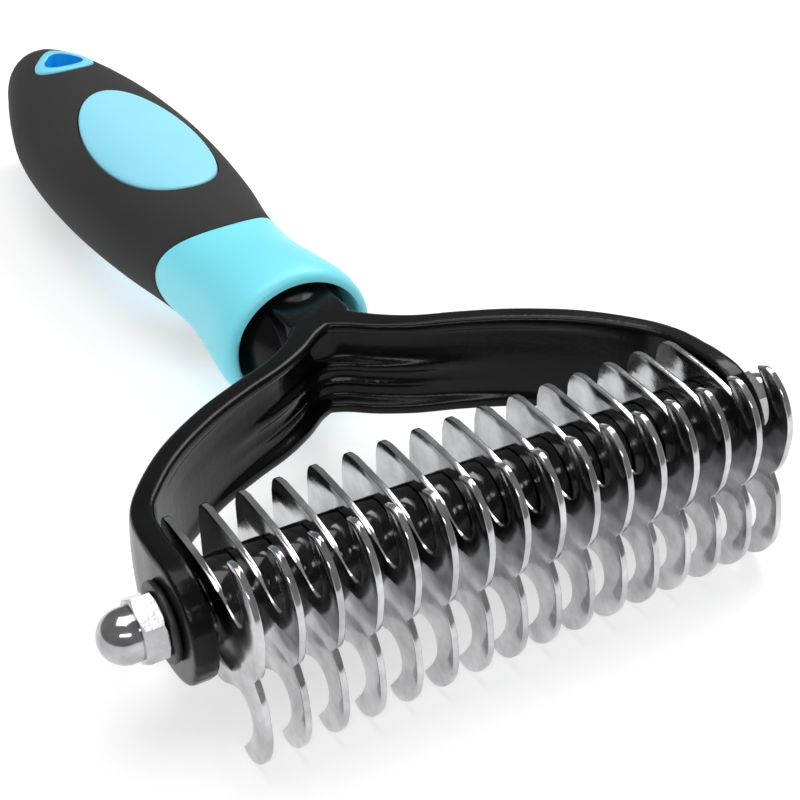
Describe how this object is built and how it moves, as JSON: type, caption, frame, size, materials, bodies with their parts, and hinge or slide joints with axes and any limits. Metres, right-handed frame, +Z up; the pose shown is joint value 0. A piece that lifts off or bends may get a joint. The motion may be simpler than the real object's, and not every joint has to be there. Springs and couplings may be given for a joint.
{
  "type": "undercoat rake",
  "caption": "Two-sided pet undercoat rake: hooked steel blades on a cross rod in a black yoke, with a gripped handle.",
  "frame": {"origin": "middle of the bounding box in plan, at the height of the lowest hooks", "axes": "+X along the cross rod towards the right-hand cap nut, +Y from the blades towards the handle's end, +Z up, square to the handle's broad face"},
  "size_m": [0.1014, 0.1776, 0.0294],
  "materials": {
    "yoke_black": "satin to gloss black enamel on a cast body",
    "rod_steel": "zinc plated",
    "spacer_black": "gloss black",
    "blade_steel": "polished, with bright rounded edges",
    "core_plastic": "moulded, hidden",
    "grip_rubber": "matte dark grey soft-touch rubber",
    "blue_plastic": "satin light blue",
    "pad_blue": "matte light blue soft-touch rubber",
    "washer_black": "black",
    "nut_chrome": "bright chrome"
  },
  "bodies": {
    "frame": {"yoke": "yoke_black", "cross_rod": "rod_steel", "end_ring_left": "spacer_black", "end_ring_right": "spacer_black", "blade_01": "blade_steel", "blade_02": "blade_steel", "blade_03": "blade_steel", "blade_04": "blade_steel", "blade_05": "blade_steel", "blade_06": "blade_steel", "blade_07": "blade_steel", "blade_08": "blade_steel", "blade_09": "blade_steel", "blade_10": "blade_steel", "blade_11": "blade_steel", "blade_12": "blade_steel", "blade_13": "blade_steel", "blade_14": "blade_steel", "blade_15": "blade_steel", "blade_16": "blade_steel", "spacer_01": "spacer_black", "spacer_02": "spacer_black", "spacer_03": "spacer_black", "spacer_04": "spacer_black", "spacer_05": "spacer_black", "spacer_06": "spacer_black", "spacer_07": "spacer_black", "spacer_08": "spacer_black", "spacer_09": "spacer_black", "spacer_10": "spacer_black", "spacer_11": "spacer_black", "spacer_12": "spacer_black", "spacer_13": "spacer_black", "spacer_14": "spacer_black", "spacer_15": "spacer_black", "handle_core": "core_plastic", "handle_grip": "grip_rubber", "handle_collar": "blue_plastic", "thumb_pad_top": "pad_blue", "thumb_pad_bottom": "pad_blue", "hang_eyelet": "blue_plastic"},
    "left_washer": {"washer_left": "washer_black"},
    "right_washer": {"washer_right": "washer_black"},
    "left_nut": {"cap_nut_left": "nut_chrome"},
    "right_nut": {"cap_nut_right": "nut_chrome"}
  },
  "joints": [
    {"name": "left_nut_travel", "type": "slide", "parent": "frame", "child": "left_washer", "axis": [-1, 0, 0], "range_m": [0, 0.0056]},
    {"name": "left_nut_turn", "type": "hinge", "parent": "left_washer", "child": "left_nut", "pos_m": [-0.045, -0.07165, 0.0147], "axis": [-1, 0, 0], "range_deg": [0, 2520]},
    {"name": "right_nut_travel", "type": "slide", "parent": "frame", "child": "right_washer", "axis": [1, 0, 0], "range_m": [0, 0.0056]},
    {"name": "right_nut_turn", "type": "hinge", "parent": "right_washer", "child": "right_nut", "pos_m": [0.045, -0.07165, 0.0147], "axis": [1, 0, 0], "range_deg": [0, 2520]}
  ],
  "couplings": [
    {"joint": "left_nut_turn", "follows": "left_nut_travel", "rad_per_m": 7854},
    {"joint": "right_nut_turn", "follows": "right_nut_travel", "rad_per_m": 7854}
  ]
}
